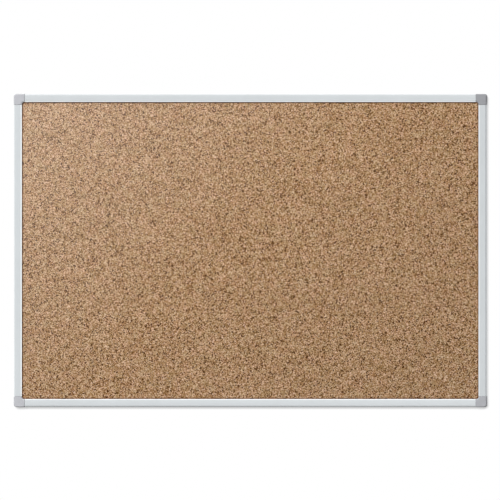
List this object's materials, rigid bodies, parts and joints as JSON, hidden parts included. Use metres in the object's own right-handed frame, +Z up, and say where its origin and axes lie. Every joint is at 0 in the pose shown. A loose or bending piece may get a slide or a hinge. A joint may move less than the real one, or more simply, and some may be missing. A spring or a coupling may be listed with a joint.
{
  "type": "framed cork bulletin board",
  "caption": "Wall-hung cork pin board in a slim aluminium frame, with plastic corners whose hinged covers hide the wall screws.",
  "frame": {"origin": "middle of the back plane of the board, which lies on the wall, at the centre of the four corner screw holes", "axes": "+X to the right along the longer side, +Z up, +Y into the wall, so that the cork faces -Y"},
  "size_m": [0.914, 0.018, 0.602],
  "materials": {
    "cork": "pressed fine cork granules, open matte surface",
    "softboard": "raw wood-fibre softboard",
    "backing_paper": "plain brown kraft paper",
    "frame_aluminium": "satin natural anodised",
    "corner_plastic": "light grey, fine moulded texture",
    "screw_steel": "zinc plated"
  },
  "bodies": {
    "board": {"cork_sheet": "cork", "core_board": "softboard", "backing_paper": "backing_paper", "bottom_rail": "frame_aluminium", "left_rail": "frame_aluminium", "top_rail": "frame_aluminium", "right_rail": "frame_aluminium", "bottom_left_block": "corner_plastic", "bottom_right_block": "corner_plastic", "top_left_block": "corner_plastic", "top_right_block": "corner_plastic", "bottom_left_screw_across": "screw_steel", "bottom_left_screw_upright": "screw_steel", "bottom_right_screw_across": "screw_steel", "bottom_right_screw_upright": "screw_steel", "top_left_screw_across": "screw_steel", "top_left_screw_upright": "screw_steel", "top_right_screw_across": "screw_steel", "top_right_screw_upright": "screw_steel"},
    "bottom_left_cover": {"bottom_left_cover": "corner_plastic"},
    "bottom_right_cover": {"bottom_right_cover": "corner_plastic"},
    "top_left_cover": {"top_left_cover": "corner_plastic"},
    "top_right_cover": {"top_right_cover": "corner_plastic"}
  },
  "joints": [
    {"name": "bottom_left_hinge", "type": "hinge", "parent": "board", "child": "bottom_left_cover", "pos_m": [-0.4557, -0.0123, -0.2861], "axis": [0, 0, -1], "range_deg": [0, 90]},
    {"name": "bottom_right_hinge", "type": "hinge", "parent": "board", "child": "bottom_right_cover", "pos_m": [0.4557, -0.0123, -0.2861], "axis": [0, 0, 1], "range_deg": [0, 90]},
    {"name": "top_left_hinge", "type": "hinge", "parent": "board", "child": "top_left_cover", "pos_m": [-0.4557, -0.0123, 0.2861], "axis": [0, 0, -1], "range_deg": [0, 90]},
    {"name": "top_right_hinge", "type": "hinge", "parent": "board", "child": "top_right_cover", "pos_m": [0.4557, -0.0123, 0.2861], "axis": [0, 0, 1], "range_deg": [0, 90]}
  ]
}
